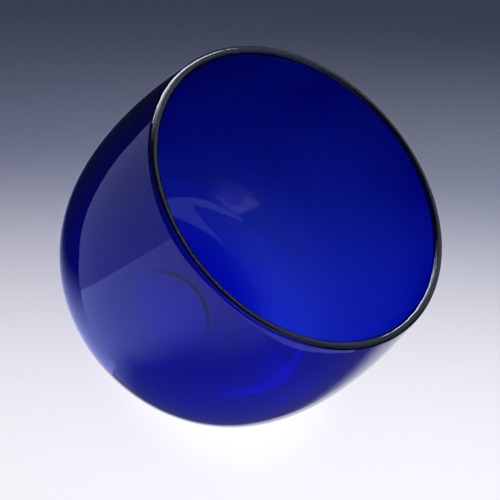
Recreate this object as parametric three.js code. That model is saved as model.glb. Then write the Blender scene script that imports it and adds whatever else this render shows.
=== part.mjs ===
// Finger bowl of free-blown blue glass: one solid of revolution.
// Millimetres, +Z up. The origin is the centre of the base, on the plane the bowl rests on.
import * as THREE from 'three';

// Driving dimensions.
const HEIGHT = 89.7;           // from the resting plane to the top of the lip
const RIM_RADIUS = 56.6;       // outside of the lip
const BELLY_RADIUS = 59.6;     // outside, at the widest place
const BELLY_HEIGHT = 54.4;     // height of the widest place
const BASE_RADIUS = 23.6;      // outside edge of the flat that the bowl rests on
const PONTIL_RADIUS = 17.5;    // edge of the hollow ground into the base
const PONTIL_DEPTH = 1.4;      // depth of that hollow at its centre

const LIP_THICKNESS = 3.2;     // glass at the fire-polished lip
const WALL_THICKNESS = 2.8;    // glass at the belly
const FLOOR_THICKNESS = 4.5;   // glass over the flat of the base
const EARLY_POWER = 8;         // how soon past the heel the floor thins to the wall: higher is sooner

// The outer wall is two cubic curves that meet at the belly. These are the lengths of
// their handles: a longer handle keeps the curve closer to its tangent.
const HEEL_HANDLE = 25.8;      // level, outwards from the edge of the base
const BELLY_HANDLE_DOWN = 33.4;
const BELLY_HANDLE_UP = 13.1;
const LIP_HANDLE = 11.3;       // down the wall from the lip
const LIP_LEAN = 8.6;          // degrees that the wall leans inwards at the lip

// How finely the solid is faceted.
const SEGMENTS = 72;           // flats around the bowl
const LOWER_STEPS = 14;        // rings from the base to the belly
const UPPER_STEPS = 6;         // rings from the belly to the lip
const LIP_STEPS = 6;           // rings over the rounded lip
const PONTIL_STEPS = 4;        // rings across the ground hollow

const glass = new THREE.MeshStandardMaterial({
  name: 'cobalt_glass',
  color: new THREE.Color(0.035, 0.06, 0.62),
  roughness: 0.05,
  metalness: 0,
  transparent: true,
  opacity: 0.75,
});

// Eases from 0 to 1 with no slope at either end.
function ease(t) {
  return t * t * (3 - 2 * t);
}

// Also goes from 0 to 1 with no slope at either end, but does most of it early, as blown
// glass does: it is thick over the base and nearly as thin as the wall soon after the heel.
function easeEarly(t) {
  return 1 - (1 - t) ** EARLY_POWER * (1 + EARLY_POWER * t);
}

// The outer wall in two stretches, as curves in the plane of x = radius, y = height.
function outerWall() {
  const lean = THREE.MathUtils.degToRad(LIP_LEAN);
  // The rounded lip is highest over its own middle, a little above where the wall ends.
  const wallTop = HEIGHT - (LIP_THICKNESS / 2) * (1 - Math.sin(lean));
  const base = new THREE.Vector2(BASE_RADIUS, 0);
  const belly = new THREE.Vector2(BELLY_RADIUS, BELLY_HEIGHT);
  const lip = new THREE.Vector2(RIM_RADIUS, wallTop);
  const lower = new THREE.CubicBezierCurve(
    base,
    new THREE.Vector2(BASE_RADIUS + HEEL_HANDLE, 0),
    new THREE.Vector2(BELLY_RADIUS, BELLY_HEIGHT - BELLY_HANDLE_DOWN),
    belly,
  );
  const upper = new THREE.CubicBezierCurve(
    belly,
    new THREE.Vector2(BELLY_RADIUS, BELLY_HEIGHT + BELLY_HANDLE_UP),
    new THREE.Vector2(
      RIM_RADIUS + LIP_HANDLE * Math.sin(lean),
      wallTop - LIP_HANDLE * Math.cos(lean),
    ),
    lip,
  );
  return { lower, upper };
}

// Points along one stretch, each with its mate on the inside of the glass, which lies one
// thickness in, square to the outer wall. The thickness goes from one end's to the other's
// by the share that the given easing says.
function shell(curve, steps, thicknessAtStart, thicknessAtEnd, easing) {
  const outside = [];
  const inside = [];
  for (let i = 0; i <= steps; i += 1) {
    const t = i / steps;
    const point = curve.getPoint(t);
    const along = curve.getTangent(t);
    const inwards = new THREE.Vector2(-along.y, along.x);
    const thickness = THREE.MathUtils.lerp(thicknessAtStart, thicknessAtEnd, easing(t));
    outside.push(point);
    inside.push(point.clone().addScaledVector(inwards, thickness));
  }
  return { outside, inside };
}

// The lip is a half circle from the outer wall over to the inner one.
function lipArc(from, to) {
  const centre = from.clone().add(to).multiplyScalar(0.5);
  const arc = [];
  for (let i = 1; i < LIP_STEPS; i += 1) {
    arc.push(from.clone().rotateAround(centre, (Math.PI * i) / LIP_STEPS));
  }
  return arc;
}

// The hollow in the base is a shallow bowl shape, from its centre to its edge.
function pontilHollow() {
  const points = [];
  for (let i = 0; i <= PONTIL_STEPS; i += 1) {
    const share = i / PONTIL_STEPS;
    points.push(new THREE.Vector2(PONTIL_RADIUS * share, PONTIL_DEPTH * (1 - share * share)));
  }
  return points;
}

// The whole outline: out along the base, up the outside, over the lip, down the inside
// and back to the axis across the floor.
function outline() {
  const wall = outerWall();
  const lower = shell(wall.lower, LOWER_STEPS, FLOOR_THICKNESS, WALL_THICKNESS, easeEarly);
  const upper = shell(wall.upper, UPPER_STEPS, WALL_THICKNESS, LIP_THICKNESS, ease);
  const outside = [...lower.outside, ...upper.outside.slice(1)];
  const inside = [...lower.inside, ...upper.inside.slice(1)];
  return [
    ...pontilHollow(),
    ...outside,
    ...lipArc(outside.at(-1), inside.at(-1)),
    ...inside.reverse(),
    new THREE.Vector2(0, FLOOR_THICKNESS),
  ];
}

function makeBowl() {
  const geometry = new THREE.LatheGeometry(outline(), SEGMENTS);
  geometry.rotateX(Math.PI / 2);
  const bowl = new THREE.Mesh(geometry, glass);
  bowl.name = 'bowl';
  return bowl;
}

const fingerBowl = new THREE.Group();
fingerBowl.name = 'finger_bowl';
fingerBowl.add(makeBowl());

export default fingerBowl;
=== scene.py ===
# %% [markdown]
# A finger bowl of blue glass
#
# A finger bowl is a small round bowl that stands beside a plate. This one is blown in one
# piece from cobalt blue glass: a wide belly, a mouth that draws in a little, a lip rounded
# in the fire, and a base with a shallow hollow ground into it.
#
# The solid frame of the bowl is made already. Here it gets its fine surface, its glass, a
# floor, lights and a camera. Everything is in metres, and the bowl stands on z = 0.

# %% Load the frame
import math

import bpy
import numpy as np
from mathutils import Matrix, Vector


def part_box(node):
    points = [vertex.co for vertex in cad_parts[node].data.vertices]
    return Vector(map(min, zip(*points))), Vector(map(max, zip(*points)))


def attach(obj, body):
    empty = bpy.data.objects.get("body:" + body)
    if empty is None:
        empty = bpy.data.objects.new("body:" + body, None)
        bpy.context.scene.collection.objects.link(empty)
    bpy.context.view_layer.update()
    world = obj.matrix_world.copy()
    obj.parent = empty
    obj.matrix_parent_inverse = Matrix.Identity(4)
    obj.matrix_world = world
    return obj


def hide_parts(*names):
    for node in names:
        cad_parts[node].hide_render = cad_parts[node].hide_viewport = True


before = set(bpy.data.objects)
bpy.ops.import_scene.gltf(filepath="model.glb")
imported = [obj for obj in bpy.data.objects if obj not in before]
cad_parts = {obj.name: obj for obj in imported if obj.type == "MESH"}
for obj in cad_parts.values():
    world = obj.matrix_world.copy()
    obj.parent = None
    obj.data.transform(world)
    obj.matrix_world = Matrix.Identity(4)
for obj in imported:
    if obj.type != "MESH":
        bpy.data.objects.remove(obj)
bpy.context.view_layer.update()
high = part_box("bowl")[1]
print("nodes in the frame:", sorted(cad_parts))
print("the bowl is", round(high.z * 1000, 1), "mm high and", round(2000 * high.x, 1), "mm wide")

# %% [markdown]
# The camera
#
# The camera comes first, so that each later step can be checked against the photograph. It
# looks down into the mouth at 47 degrees and is rolled to the left, so the bowl's axis
# leans to the right in the picture, as it does in the photograph. A long lens keeps the
# perspective as flat as it is there.

# %% Place the camera
CAMERA_ELEVATION = 46.98
CAMERA_ROLL = 48.5
CAMERA_DISTANCE = 0.760
CAMERA_LENS = 158.4
SENSOR_WIDTH = 36.0
NEAREST_SEEN = 0.01
FARTHEST_SEEN = 50
AIM = Vector((0.0028, 0.0071, 0.0449))


def place_camera():
    """Turns the camera up from level by its elevation, then rolls it about its own line of
    sight, and backs it off from the point that it aims at."""
    tip = Matrix.Rotation(math.radians(90 - CAMERA_ELEVATION), 4, "X")
    roll = Matrix.Rotation(math.radians(CAMERA_ROLL), 4, "Z")
    back = Matrix.Translation((0, 0, CAMERA_DISTANCE))
    data = bpy.data.cameras.new("camera")
    data.lens = CAMERA_LENS
    data.sensor_width = SENSOR_WIDTH
    data.clip_start = NEAREST_SEEN
    data.clip_end = FARTHEST_SEEN
    camera = bpy.data.objects.new("camera", data)
    camera.matrix_world = Matrix.Translation(AIM) @ tip @ roll @ back
    bpy.context.scene.collection.objects.link(camera)
    bpy.context.scene.camera = camera
    return camera


camera = place_camera()
print("camera stands at", [round(v, 3) for v in camera.matrix_world.translation])

# %% [markdown]
# The outline of the glass
#
# A blown bowl is a solid of revolution, so its shape is one outline turned about the axis.
# It could be drawn by hand and spun with a modifier. Worked out from a few sizes, it can be
# changed by changing one number. The outer wall is two cubic curves that meet at the belly,
# and the inner wall lies one glass thickness inside it.
#
# The glass gathers over the base, so the thickness falls quickly from the heavy floor to an
# even wall. That matters to how the bowl looks: in a wall that goes on thinning, light would
# be caught between its two faces and leave a grey band at the edge.

# %% Work out the outer and inner wall
HEIGHT = high.z
BELLY_RADIUS = high.x
RIM_RADIUS = 0.0566
BELLY_HEIGHT = 0.0544
BASE_RADIUS = 0.0236

LIP_THICKNESS = 0.0032
WALL_THICKNESS = 0.0028
FLOOR_THICKNESS = 0.0045
EARLY_POWER = 8

HEEL_HANDLE = 0.0258
BELLY_HANDLE_DOWN = 0.0334
BELLY_HANDLE_UP = 0.0131
LIP_HANDLE = 0.0113
LIP_LEAN = math.radians(8.6)

LOWER_STEPS = 64
UPPER_STEPS = 28


def ease(t):
    """From 0 to 1 with no slope at either end: three t squared less two t cubed."""
    return t * t * (3 - 2 * t)


def ease_early(t):
    """Also from 0 to 1 with no slope at either end, but mostly early on: one, less a power n
    of (1 - t) times (1 + n t)."""
    return 1 - (1 - t) ** EARLY_POWER * (1 + EARLY_POWER * t)


def cubic(points, steps):
    """A cubic Bezier curve and its tangents. Each point of the curve is the four control
    points weighed by the binomial terms of t and one less t."""
    a, b, c, d = (np.array(p) for p in points)
    t = np.linspace(0, 1, steps + 1)[:, None]
    s = 1 - t
    place = s**3 * a + 3 * s * s * t * b + 3 * s * t * t * c + t**3 * d
    along = s * s * (b - a) + 2 * s * t * (c - b) + t * t * (d - c)
    along /= np.linalg.norm(along, axis=1, keepdims=True)
    return place, along


def shell(points, steps, start_thickness, end_thickness, easing):
    """The outside of one stretch of wall, and its inside, which is the outside moved in
    square to itself by a thickness that goes from the first value to the second."""
    outside, along = cubic(points, steps)
    inwards = np.stack([-along[:, 1], along[:, 0]], 1)
    share = easing(np.linspace(0, 1, steps + 1))[:, None]
    thickness = start_thickness + (end_thickness - start_thickness) * share
    return outside, outside + inwards * thickness


def walls():
    """The whole outside and the whole inside, from the base up to the lip."""
    wall_top = HEIGHT - LIP_THICKNESS / 2 * (1 - math.sin(LIP_LEAN))
    base = (BASE_RADIUS, 0)
    heel = (BASE_RADIUS + HEEL_HANDLE, 0)
    below = (BELLY_RADIUS, BELLY_HEIGHT - BELLY_HANDLE_DOWN)
    belly = (BELLY_RADIUS, BELLY_HEIGHT)
    above = (BELLY_RADIUS, BELLY_HEIGHT + BELLY_HANDLE_UP)
    neck = (RIM_RADIUS + LIP_HANDLE * math.sin(LIP_LEAN), wall_top - LIP_HANDLE * math.cos(LIP_LEAN))
    lip = (RIM_RADIUS, wall_top)
    lower = shell([base, heel, below, belly], LOWER_STEPS, FLOOR_THICKNESS, WALL_THICKNESS, ease_early)
    upper = shell([belly, above, neck, lip], UPPER_STEPS, WALL_THICKNESS, LIP_THICKNESS, ease)
    return np.vstack([lower[0], upper[0][1:]]), np.vstack([lower[1], upper[1][1:]])


outside, inside = walls()
print("widest", round(2000 * outside[:, 0].max(), 2), "mm; mouth", round(2000 * inside[-1, 0], 2), "mm")

# %% [markdown]
# The base and the lip
#
# The iron that held the bowl left a scar under it, which was ground away and polished. What
# is left is a shallow hollow with low waves from the wheel and a soft step at its edge, where
# the wheel stopped. That step shows from above as a dark arc through the wall. The lip was
# melted smooth, so its outline is a half circle from the outer wall over to the inner one.

# %% Close the outline
PONTIL_RADIUS = 0.0175
PONTIL_DEPTH = 0.0014
PONTIL_EDGE_HEIGHT = 0.0008
PONTIL_EDGE_WIDTH = 0.0030
WHEEL_MARKS = 5
WHEEL_MARK_HEIGHT = 0.00004

LIP_STEPS = 24
PONTIL_STEPS = 48
EDGE_STEPS = 8
RING_STEPS = 3
FLOOR_STEPS = 8


def ground_hollow():
    """A shallow parabola from the axis out, with the wheel's low waves on it, which grow with
    the square of the distance from the axis. Then an S-shaped step down to the flat ring."""
    share = np.linspace(0, 1, PONTIL_STEPS + 1)[:, None]
    inner = PONTIL_RADIUS - PONTIL_EDGE_WIDTH
    marks = WHEEL_MARK_HEIGHT * share**2 * np.sin(2 * math.pi * WHEEL_MARKS * share)
    rise = (PONTIL_DEPTH - PONTIL_EDGE_HEIGHT) * (1 - share**2) + marks
    bowl_part = np.hstack([inner * share, PONTIL_EDGE_HEIGHT + rise])
    t = np.linspace(0, 1, EDGE_STEPS + 1)[1:, None]
    step = np.hstack([inner + PONTIL_EDGE_WIDTH * t, PONTIL_EDGE_HEIGHT * (1 - ease(t))])
    ring = np.linspace(PONTIL_RADIUS, BASE_RADIUS, RING_STEPS + 1)[1:-1, None]
    return np.vstack([bowl_part, step, np.hstack([ring, 0 * ring])])


def rounded_lip(start, end):
    """A half circle about the middle of the two ends: the cosine of the turn carries one
    arm, and its sine the arm at right angles."""
    middle = (start + end) / 2
    arm = start - middle
    side = np.array([-arm[1], arm[0]])
    turn = np.linspace(0, math.pi, LIP_STEPS + 1)[1:-1, None]
    return middle + np.cos(turn) * arm + np.sin(turn) * side


level = np.linspace(1, 0, FLOOR_STEPS + 1)[1:, None]
floor_line = np.hstack([BASE_RADIUS * level, FLOOR_THICKNESS + 0 * level])
lip_arc = rounded_lip(outside[-1], inside[-1])
profile = np.vstack([ground_hollow(), outside, lip_arc, inside[::-1], floor_line])
print("the outline has", len(profile), "points")

# %% [markdown]
# Turning the outline into a surface
#
# The surface is a function of two things: the place along the outline, and the angle about
# the axis. Both are whole arrays, so numpy works out every point at once. The first and the
# last point of the outline lie on the axis, and each is a single vertex with a fan of
# triangles, so that the skin is closed there.
#
# Glass blown and shaped by hand is never quite true. A few slow waves, some hundredths of a
# millimetre high, run round and up the wall. Nobody sees the waves themselves, but they
# bend the reflections a little, and a mirror-perfect bowl would look like plastic.

# %% Turn the outline
SEGMENTS = 360
WAVES = (
    # lobes round the bowl, waves per metre of height, height in metres, start angle
    (2, 3.0, 0.00004, 0.4),
    (3, 9.0, 0.00002, 2.1),
    (5, 17.0, 0.000008, 4.4),
    (7, 26.0, 0.000005, 1.2),
    (4, 38.0, 0.000003, 5.3),
)
TRUE_RADIUS = 0.012
TRUE_HEIGHT = 0.004


def hand_blown(radius, angle, height):
    """How far the glass strays outwards: a sum of sines of the angle and the height. It
    fades to nothing near the axis and near the ground base."""
    stray = sum(
        size * np.sin(lobes * angle + 2 * math.pi * rate * height + start)
        for lobes, rate, size, start in WAVES
    )
    near_axis = ease(np.clip(radius / TRUE_RADIUS - 1, 0, 1))
    near_base = ease(np.clip(height / TRUE_HEIGHT, 0, 1))
    return stray * near_axis * near_base


def turned_surface(name, rows):
    """A closed surface of revolution. Point (i, j) is at radius times cosine and sine of
    angle j, at the height of row i."""
    angle = np.linspace(0, 2 * math.pi, SEGMENTS, endpoint=False)
    ring = rows[1:-1]
    radius = ring[:, :1] + hand_blown(ring[:, :1], angle, ring[:, 1:])
    places = np.stack([radius * np.cos(angle), radius * np.sin(angle), ring[:, 1:] + 0 * angle], -1)
    poles = [[0, 0, rows[0, 1]], [0, 0, rows[-1, 1]]]
    places = np.vstack([places.reshape(-1, 3), poles])

    column = np.arange(SEGMENTS)
    beside = (column + 1) % SEGMENTS
    start = (np.arange(len(ring) - 1) * SEGMENTS)[:, None]
    next_ring = start + SEGMENTS
    quads = np.stack([start + column, start + beside, next_ring + beside, next_ring + column], -1)
    bottom = np.stack([np.full(SEGMENTS, len(places) - 2), beside, column], -1)
    last_ring = (len(ring) - 1) * SEGMENTS
    top = np.stack([np.full(SEGMENTS, len(places) - 1), last_ring + column, last_ring + beside], -1)

    faces = quads.reshape(-1, 4).tolist() + bottom.tolist() + top.tolist()
    mesh = bpy.data.meshes.new(name)
    mesh.from_pydata(places.tolist(), [], faces)
    mesh.shade_smooth()
    mesh.update()
    piece = bpy.data.objects.new(name, mesh)
    bpy.context.scene.collection.objects.link(piece)
    return piece


bowl = turned_surface("glass_bowl", profile)
print("faces:", len(bowl.data.polygons))

# %% [markdown]
# The glass
#
# The surface of the glass is clear and smooth, and the colour is inside it. So the shader
# has a white, fully transmitting surface, and an absorbing volume that swallows red and
# green quickly and lets blue through. Where the glass is thick it is nearly black, and where
# it is thin it glows, with no colour painted on it.

# %% Make the glass
GLASS_IOR = 1.52
ABSORB_COLOUR = (0.0, 0.20, 0.877, 1.0)
ABSORB_DENSITY = 1500.0


def cobalt_glass():
    """A clear surface round an absorbing inside. Along a path through the glass each colour
    falls off exponentially, at the density times one less that colour's share."""
    material = bpy.data.materials.new("cobalt_glass")
    material.use_nodes = True
    nodes = material.node_tree.nodes
    shader = nodes["Principled BSDF"]
    shader.inputs["Base Color"].default_value = (1, 1, 1, 1)
    shader.inputs["Transmission Weight"].default_value = 1.0
    shader.inputs["IOR"].default_value = GLASS_IOR
    absorb = nodes.new("ShaderNodeVolumeAbsorption")
    absorb.inputs["Color"].default_value = ABSORB_COLOUR
    absorb.inputs["Density"].default_value = ABSORB_DENSITY
    material.node_tree.links.new(absorb.outputs["Volume"], nodes["Material Output"].inputs["Volume"])
    return material


glass = cobalt_glass()
bowl.data.materials.append(glass)
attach(bowl, "root")
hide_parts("bowl")
swallowed = [round(ABSORB_DENSITY * (1 - share) / 1000, 2) for share in ABSORB_COLOUR[:3]]
print("the glass swallows", swallowed, "of red, green and blue per mm")

# %% [markdown]
# Building materials from nodes
#
# The next materials are worked out from places on a surface, so four small helpers keep them
# short. One adds a node, one joins two sockets, one multiplies two values, and one is a ramp
# that carries a value smoothly from one number to another.

# %% Helpers for nodes


def add(material, kind, **settings):
    """A new node of the kind given, with its settings."""
    node = material.node_tree.nodes.new(kind)
    for key, value in settings.items():
        setattr(node, key, value)
    return node


def join(material, source, target):
    """Carries one node's output to another's input."""
    material.node_tree.links.new(source, target)


def times(material, first, second):
    """The product of two values. The second may be a plain number."""
    node = add(material, "ShaderNodeMath", operation="MULTIPLY")
    join(material, first, node.inputs[0])
    if isinstance(second, float):
        node.inputs[1].default_value = second
    else:
        join(material, second, node.inputs[1])
    return node.outputs["Value"]


def ramp(material, value, start, end, first, last, kind="SMOOTHSTEP"):
    """Goes from the first number to the last one while the value goes from start to end."""
    node = add(material, "ShaderNodeMapRange", interpolation_type=kind)
    sockets = ("From Min", "From Max", "To Min", "To Max")
    for socket, number in zip(sockets, (start, end, first, last)):
        node.inputs[socket].default_value = number
    join(material, value, node.inputs["Value"])
    return node


print("helpers:", [helper.__name__ for helper in (add, join, times, ramp)])

# %% [markdown]
# Wear and polish on the base
#
# Glass is not equally smooth all over. The flat ring that the bowl stands on has rubbed on
# tables for years, and is matt and scratched. The hollow was polished after it was ground,
# but keeps a trace of the wheel's circles. The blown wall was never touched, and is as smooth
# as glass can be. The height and the distance from the axis tell these places apart, so both
# are taken from the object's own coordinates and turned into masks.

# %% Add wear and polish
RING_ROUGHNESS = 0.30
HOLLOW_ROUGHNESS = 0.03
SCRATCH_SCALE = 1400.0
SCRATCH_DETAIL = 4
CIRCLE_SCALE = 260.0
CIRCLE_WOBBLE = 1.5
MARK_DEPTH = 0.00002
RING_TOP = 0.0003
HOLLOW_TOP = 0.0020
BLUR = 0.0006


def wear_and_polish(material):
    """Roughness is the ring's mask times a patchy noise, plus the hollow's mask times its own
    small roughness. The relief is fine rings and scratches, on those two places only."""
    nodes = material.node_tree.nodes
    place = add(material, "ShaderNodeTexCoord").outputs["Object"]
    flat = add(material, "ShaderNodeVectorMath", operation="MULTIPLY")
    flat.inputs[1].default_value = (1, 1, 0)
    radius = add(material, "ShaderNodeVectorMath", operation="LENGTH")
    height = add(material, "ShaderNodeSeparateXYZ")
    join(material, place, flat.inputs[0])
    join(material, flat.outputs["Vector"], radius.inputs[0])
    join(material, place, height.inputs["Vector"])
    radius, height = radius.outputs["Value"], height.outputs["Z"]

    edge = (PONTIL_RADIUS - BLUR, PONTIL_RADIUS)
    outside_hollow = ramp(material, radius, *edge, 0, 1).outputs["Result"]
    inside_hollow = ramp(material, radius, *edge, 1, 0).outputs["Result"]
    low_down = ramp(material, height, RING_TOP, RING_TOP + BLUR, 1, 0).outputs["Result"]
    under_floor = ramp(material, height, HOLLOW_TOP, HOLLOW_TOP + BLUR, 1, 0).outputs["Result"]
    ring = times(material, outside_hollow, low_down)
    hollow = times(material, inside_hollow, under_floor)

    scratches = add(material, "ShaderNodeTexNoise")
    scratches.inputs["Scale"].default_value = SCRATCH_SCALE
    scratches.inputs["Detail"].default_value = SCRATCH_DETAIL
    circles = add(material, "ShaderNodeTexWave", wave_type="RINGS", rings_direction="Z")
    circles.inputs["Scale"].default_value = CIRCLE_SCALE
    circles.inputs["Distortion"].default_value = CIRCLE_WOBBLE
    join(material, place, scratches.inputs["Vector"])
    join(material, place, circles.inputs["Vector"])

    patchy = times(material, scratches.outputs["Fac"], RING_ROUGHNESS)
    rough = add(material, "ShaderNodeMath", operation="ADD")
    join(material, times(material, ring, patchy), rough.inputs[0])
    join(material, times(material, hollow, HOLLOW_ROUGHNESS), rough.inputs[1])
    join(material, rough.outputs["Value"], nodes["Principled BSDF"].inputs["Roughness"])

    relief = add(material, "ShaderNodeMath", operation="ADD")
    join(material, times(material, ring, scratches.outputs["Fac"]), relief.inputs[0])
    join(material, times(material, hollow, circles.outputs["Fac"]), relief.inputs[1])
    bump = add(material, "ShaderNodeBump")
    bump.inputs["Distance"].default_value = MARK_DEPTH
    join(material, relief.outputs["Value"], bump.inputs["Height"])
    join(material, bump.outputs["Normal"], nodes["Principled BSDF"].inputs["Normal"])


wear_and_polish(glass)
print("nodes in the glass:", len(glass.node_tree.nodes))

# %% [markdown]
# The floor
#
# A plain pale floor, large enough that only a very low view looks past its far edge. It is
# left out of mirror reflections, because cards take its place there, as a later cell says.

# %% Lay the floor
FLOOR_HALF = 12.0
FLOOR_DROP = 0.0001
FLOOR_COLOUR = (0.80, 0.80, 0.81, 1.0)
FLOOR_ROUGHNESS = 0.9


def lay_floor():
    """One square, a hair under the bowl so that the two never share a plane."""
    mesh = bpy.data.meshes.new("floor")
    h = FLOOR_HALF
    z = -FLOOR_DROP
    mesh.from_pydata([(-h, -h, z), (h, -h, z), (h, h, z), (-h, h, z)], [], [(0, 1, 2, 3)])
    material = bpy.data.materials.new("pale_floor")
    material.use_nodes = True
    shader = material.node_tree.nodes["Principled BSDF"]
    shader.inputs["Base Color"].default_value = FLOOR_COLOUR
    shader.inputs["Roughness"].default_value = FLOOR_ROUGHNESS
    shader.inputs["Specular IOR Level"].default_value = 0.0
    mesh.materials.append(material)
    floor = bpy.data.objects.new("floor", mesh)
    floor.visible_glossy = False
    bpy.context.scene.collection.objects.link(floor)
    return floor


floor = lay_floor()
print("the floor is", floor.dimensions.x, "m across")

# %% [markdown]
# Light on the floor
#
# In the photograph the light falls in a pool: the ground is bright on one side and fades to
# a dusky blue grey on the other. Two spot lamps straight overhead make that pool. Each is
# stretched along one direction, so that its cone meets the floor in a long ellipse. A third,
# small and round, stands for the light that a glass bowl gathers under itself like a lens.
# The blend of all three is full, so that none has an edge. A dim bluish sky fills the rest.
#
# The lamps would cast the bowl's shadow as if glass were black, so the bowl is left out of
# what blocks them.

# %% Light the floor
scene = bpy.context.scene
scene.view_settings.view_transform = "Standard"

SKY_COLOUR = (0.53, 0.63, 1.0, 1.0)
SKY_STRENGTH = 0.096
world = bpy.data.worlds.new("studio")
world.use_nodes = True
world.node_tree.nodes["Background"].inputs["Color"].default_value = SKY_COLOUR
world.node_tree.nodes["Background"].inputs["Strength"].default_value = SKY_STRENGTH
scene.world = world

LAMP_HEIGHT = 1.2
LAMP_SIZE = 0.005
POOL_DIRECTION = (0.543, 0.84)
POOL_ALONG = math.atan2(POOL_DIRECTION[1], POOL_DIRECTION[0])
unshaded = bpy.data.collections.new("casts_no_shadow")
unshaded.objects.link(bowl)


def pool_of_light(name, centre, half_width, half_length, energy, colour):
    """A spot lamp straight overhead. The tangent of its cone's half angle is the half width
    over the lamp's height, and the cone is stretched one way by length over width."""
    data = bpy.data.lights.new(name, "SPOT")
    data.energy = energy
    data.color = colour
    data.spot_size = 2 * math.atan(half_width / LAMP_HEIGHT)
    data.spot_blend = 1.0
    data.shadow_soft_size = LAMP_SIZE
    lamp = bpy.data.objects.new(name, data)
    place = Matrix.Translation((*centre, LAMP_HEIGHT))
    turn = Matrix.Rotation(POOL_ALONG, 4, "Z")
    lamp.matrix_world = place @ turn @ Matrix.Diagonal((half_length / half_width, 1, 1, 1))
    lamp.visible_glossy = False
    lamp.visible_transmission = False
    lamp.light_linking.blocker_collection = unshaded
    scene.collection.objects.link(lamp)
    return lamp


pool = pool_of_light(
    "pool_lamp", centre=(0.066, -0.092), half_width=0.175, half_length=0.604, energy=42.5,
    colour=(1.0, 0.917, 0.775),
)
glow = pool_of_light(
    "glow_lamp", centre=(0.270, 0.152), half_width=0.285, half_length=1.238, energy=35.3,
    colour=(0.714, 0.770, 1.0),
)
gathered = pool_of_light(
    "gathered_lamp", centre=(0.018, 0.008), half_width=0.060, half_length=0.060, energy=18.0,
    colour=(0.80, 0.88, 1.0),
)
unshaded.collection_objects[0].light_linking.link_state = "EXCLUDE"
print("watts overhead:", [round(lamp.data.energy, 1) for lamp in (pool, glow, gathered)])

# %% [markdown]
# Cards for the glass to mirror
#
# Clear glass has hardly any colour of its own on its surface: what the eye reads as its
# shape is what it mirrors. A photographer sets white cards and lamps round it for that. The
# cards here are flat shapes that glow, and only reflections and refractions see them. They
# neither light the floor nor show in the picture.
#
# Most cards lie one metre under or over the bowl. Their corners are given in metres from the
# bowl's axis, so that they are also the slopes at which the bowl sees them.

# %% Cut the cards
CARD_DISTANCE = 1.0

PLAIN_WHITE = (1.0, 1.0, 1.06, 1.0)
LAMP_WHITE = (1.0, 1.05, 1.2, 1.0)
COOL_WHITE = (1.0, 1.12, 1.3, 1.0)
PALE_BLUE = (1.0, 1.12, 1.7, 1.0)
EVENING_BLUE = (1.0, 1.15, 2.35, 1.0)
DEEP_BLUE = (1.0, 1.25, 2.8, 1.0)


def glowing(name, strength, colour):
    """A surface that only gives light. It isn't searched for as a lamp, because only what
    mirrors it should see it."""
    material = bpy.data.materials.new(name)
    material.use_nodes = True
    material.cycles.emission_sampling = "NONE"
    nodes = material.node_tree.nodes
    nodes.remove(nodes["Principled BSDF"])
    light = nodes.new("ShaderNodeEmission")
    light.inputs["Color"].default_value = colour
    light.inputs["Strength"].default_value = strength
    material.node_tree.links.new(light.outputs["Emission"], nodes["Material Output"].inputs["Surface"])
    return material


def card(name, corners, height, strength, colour):
    """A flat card with the corners given, all at one height."""
    mesh = bpy.data.meshes.new(name)
    mesh.from_pydata([(x, y, height) for x, y in corners], [], [tuple(range(len(corners)))])
    mesh.materials.append(glowing(name, strength, colour))
    panel = bpy.data.objects.new(name, mesh)
    panel.visible_camera = False
    panel.visible_diffuse = False
    panel.visible_shadow = False
    scene.collection.objects.link(panel)
    return panel


print("cards lie", CARD_DISTANCE, "m from the base, and the highest point is at", round(HEIGHT, 4), "m")

# %% [markdown]
# The cards under the bowl
#
# The outer wall mirrors these. The side card and the front card meet in one straight edge,
# and their reflections give the two pale violet fields on the near wall. All of them end at
# one slow outward curve: beyond it the wall would mirror them higher up, where it stays dark.
# A broad and nearly black card lies under them all. The others lie in layers a hair apart,
# so that where two overlap it is plain which one is on top.

# %% Lay the cards under the bowl
UNDER = -CARD_DISTANCE
LAYER = 0.001
BLACK_HEIGHT = -1.1
BLACK_HALF = 9.0
OUTER_AZIMUTHS = (-290, -250, -210, -180, -152, -124, -97, -69, -64)
OUTER_RADII = (2.2, 2.3, 2.3, 2.1, 1.88, 1.81, 1.72, 1.52, 1.45)
LOW_AZIMUTHS = (66, 96, 124, 150, 175)
LOW_RADII = (1.43, 1.59, 1.72, 1.83, 1.9)
LOW_OUTER_RADIUS = 2.4


def arc(radius, start, end, steps=8):
    """Corners along an arc. The angles are degrees from +Y towards +X."""
    turn = np.radians(np.linspace(start, end, steps + 1))
    return [(radius * math.sin(a), radius * math.cos(a)) for a in turn]


def sweep(azimuths, radii, start, end, steps=16):
    """Corners along a curve whose radius changes evenly between the azimuths given."""
    turn = np.linspace(start, end, steps + 1)
    reach = np.interp(turn, azimuths, radii)
    return list(zip(reach * np.sin(np.radians(turn)), reach * np.cos(np.radians(turn))))


half = BLACK_HALF
black_square = [(-half, -half), (half, -half), (half, half), (-half, half)]
left_corners = [(-3, -0.4), (0.03, -0.4), (0.03, 4), (-3, 4)]
seam = [(-0.46, -0.20), (-0.646, -0.697), (-0.809, -1.139), (-0.927, -1.496)]
side_edge = [(-0.667, -0.131), (-0.868, 0.036), (-1.119, 0.247), (-1.329, 0.389), (-1.356, 0.470)]
side_rim = sweep(OUTER_AZIMUTHS, OUTER_RADII, -69, -149)
front_rim = sweep(OUTER_AZIMUTHS, OUTER_RADII, -149, -290)
inner_edge = [(0.65, 1.0), (0.03, 1.0), (0.03, -0.20)]
low_corners = sweep(LOW_AZIMUTHS, LOW_RADII, 66, 175) + arc(LOW_OUTER_RADIUS, 175, 66)
soft_corners = [(0.58, 0.5), (2.5, 0.5), (2.5, 1.4), (0.58, 1.4)]
near_edge = [(0.03, 0.35), (0.03, 0.14), (0.5, 0.48), (0.6, 0.8), (0.6, 0.94), (2.5, 1.33)]
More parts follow.
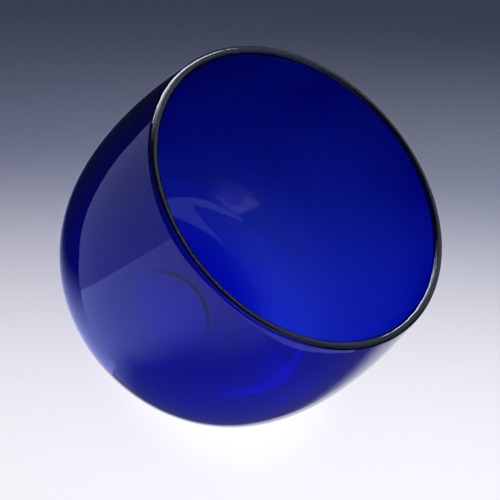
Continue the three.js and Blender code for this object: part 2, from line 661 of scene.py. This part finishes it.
far_edge = [(2.5, 4), (-0.08, 4), (-0.08, 0.5)]

card("black_card", black_square, BLACK_HEIGHT, strength=0.02, colour=COOL_WHITE)
left = card("left_card", left_corners, UNDER - 4 * LAYER, strength=0.1, colour=EVENING_BLUE)
side_corners = side_edge + side_rim + seam[::-1]
card("side_card", side_corners, UNDER - 3 * LAYER, strength=0.32, colour=EVENING_BLUE)
front_corners = seam + front_rim + inner_edge
front = card("front_card", front_corners, UNDER - 3 * LAYER, strength=0.6, colour=EVENING_BLUE)
card("low_card", low_corners, UNDER - 2 * LAYER, strength=0.5, colour=EVENING_BLUE)
soft = card("soft_card", soft_corners, UNDER - LAYER, strength=0.5, colour=PLAIN_WHITE)
far = card("far_card", near_edge + far_edge, UNDER, strength=0.93, colour=PLAIN_WHITE)
print("the front card has", len(front_corners), "corners, and the side card", len(side_corners))

# %% [markdown]
# Cards that fade
#
# A card that is lit from one side is brighter there, and its reflection then has a soft end.
# Each fade is a smooth step between two strengths, made in the card's own material from the
# place on the card. Three cards fade in a straight line. The front card's fade is narrow
# near the bowl and spreads outwards like a fan, so its distance is divided by a width that
# grows along the card.

# %% Fade four of the cards
FAN_LEFT = -0.12
FAN_WIDTH = 0.31
FAN_SPREAD = 0.8
FAN_NEAR = -0.48
FAN_FAR = -1.8
FAN_BRIGHT = 0.72
FAN_BRIGHT_FAR = 0.56
FAN_DIM = 0.10
FAN_DIM_FAR = 0.40
DIM_NEAR = -0.7
DIM_FAR = -1.65


def distance_on(material, direction, shift=0.0):
    """How far a point lies along the direction: their dot product, and a shift."""
    place = add(material, "ShaderNodeTexCoord")
    along = add(material, "ShaderNodeVectorMath", operation="DOT_PRODUCT")
    along.inputs[1].default_value = direction
    moved = add(material, "ShaderNodeMath", operation="ADD")
    moved.inputs[1].default_value = shift
    join(material, place.outputs["Object"], along.inputs[0])
    join(material, along.outputs["Value"], moved.inputs[0])
    return moved.outputs["Value"]


def set_glow(material, value):
    """Lets a worked-out value take the place of the card's even strength."""
    join(material, value, material.node_tree.nodes["Emission"].inputs["Strength"])


def fade(panel, direction, start, end, dim, bright):
    """A smooth step between two strengths, along one direction on the card."""
    material = panel.data.materials[0]
    step = ramp(material, distance_on(material, direction), start, end, dim, bright)
    set_glow(material, step.outputs["Result"])


def fade_like_a_fan(panel):
    """A smooth step to the right, over a width that grows evenly along the card."""
    material = panel.data.materials[0]
    along = distance_on(material, (0, 1, 0))
    full_width = FAN_WIDTH + FAN_SPREAD * (FAN_NEAR - FAN_FAR)
    width = ramp(material, along, FAN_NEAR, FAN_FAR, FAN_WIDTH, full_width, "LINEAR")
    bright = ramp(material, along, FAN_NEAR, FAN_FAR, FAN_BRIGHT, FAN_BRIGHT_FAR, "LINEAR")
    dim = ramp(material, along, DIM_NEAR, DIM_FAR, FAN_DIM, FAN_DIM_FAR)
    share = add(material, "ShaderNodeMath", operation="DIVIDE")
    join(material, distance_on(material, (1, 0, 0), -FAN_LEFT), share.inputs[0])
    join(material, width.outputs["Result"], share.inputs[1])
    step = ramp(material, share.outputs["Value"], 0, 1, 0, 0)
    join(material, bright.outputs["Result"], step.inputs["To Min"])
    join(material, dim.outputs["Result"], step.inputs["To Max"])
    set_glow(material, step.outputs["Result"])


fade_like_a_fan(front)
fade(left, direction=(1, -0.15, 0), start=-0.57, end=-0.13, dim=0.010, bright=0.70)
fade(far, direction=(-0.55, 0.83, 0), start=0.12, end=0.28, dim=0.12, bright=0.93)
fade(soft, direction=(-0.2, 0.98, 0), start=0.44, end=0.80, dim=0.11, bright=0.93)
print("cards that fade:", [panel.name for panel in (front, left, far, soft)])

# %% [markdown]
# The cards over the bowl
#
# The inside and the lip mirror these. Two of them meet at a corner, and show deep in the
# bowl as a pair of pale crescents. The lip mirrors the broad one beyond the bowl as a grey
# line all round.

# %% Hang the cards over the bowl
OVER = CARD_DISTANCE
BACK_HEIGHT = 1.02

shared_corner = (0.69, -0.22)
corner_corners = [(0.05, 0.18), shared_corner, (3.2, 0.1), (2.5, 2.5), (0.5, 0.5)]
right_corners = [shared_corner, (0.25, -1.3), (1.6, -2.6), (3.0, -0.3)]
back_corners = [(-0.5, 0.35), (0.5, 0.35), (3, 5), (-3, 5)]
card("corner_card", corner_corners, OVER, strength=0.30, colour=DEEP_BLUE)
card("right_card", right_corners, OVER, strength=0.36, colour=DEEP_BLUE)
card("back_card", back_corners, BACK_HEIGHT, strength=0.6, colour=PALE_BLUE)
print("the cards overhead meet at", shared_corner)

# %% [markdown]
# The lamp, the window and the curtain
#
# One small bright lamp stands low at the left, and draws the white lines on both sides of the
# lip. A paler window over the lamp makes those lines wider, and a dim curtain beside it lets
# them fade out at one end.
#
# All three stand upright in one plane that faces the bowl. From the lip each of them fills a
# certain piece of the view, and a reflection only knows that piece. So their corners are
# given as directions, in degrees, and the lamp and the window share one edge.

# %% Stand the lamp and its cards
LAMP_AZIMUTH = -58
LAMP_ELEVATION = 12
LAMP_DISTANCE = 1.5
LAMP_STRENGTH = 9.5
WINDOW_STRENGTH = 3.4
CURTAIN_STRENGTH = 0.9


def direction_of(azimuth, elevation):
    """The unit vector at an azimuth from +Y towards +X and an elevation, in degrees. Its level
    part is the cosine of the elevation, shared out by the sine and cosine of the azimuth."""
    turn = math.radians(azimuth)
    lift = math.radians(elevation)
    level = math.cos(lift)
    return Vector((math.sin(turn) * level, math.cos(turn) * level, math.sin(lift)))


def standing_card(name, corners, strength, colour):
    """A flat card that faces the bowl from the lamp's side. Each corner is where a line from
    the bowl at its azimuth and elevation meets the card's plane."""
    facing = direction_of(LAMP_AZIMUTH, LAMP_ELEVATION)
    rays = [direction_of(*corner) for corner in corners]
    places = [ray * (LAMP_DISTANCE / ray.dot(facing)) + Vector((0, 0, HEIGHT)) for ray in rays]
    panel = card(name, [(place.x, place.y) for place in places], 0, strength, colour)
    panel.data.vertices.foreach_set("co", [v for place in places for v in place])
    panel.data.update()
    return panel


meeting_edge = [(-73, 23), (-66, 19), (-52, 19), (-42, 26)]
lamp_edge = [(-22, 36), (-22, 25), (-42, 10), (-56, -8), (-68, -8), (-84, -2), (-84, 6), (-73, 10)]
window_edge = [(-36, 36), (-41, 45), (-53, 47), (-73, 42)]
curtain_edge = [(-73, 10), (-73, 42), (-84, 38), (-88, 34), (-88, 6), (-84, 6)]
standing_card("low_lamp", meeting_edge + lamp_edge, LAMP_STRENGTH, LAMP_WHITE)
standing_card("window_card", meeting_edge + window_edge, WINDOW_STRENGTH, LAMP_WHITE)
standing_card("curtain_card", curtain_edge, CURTAIN_STRENGTH, LAMP_WHITE)
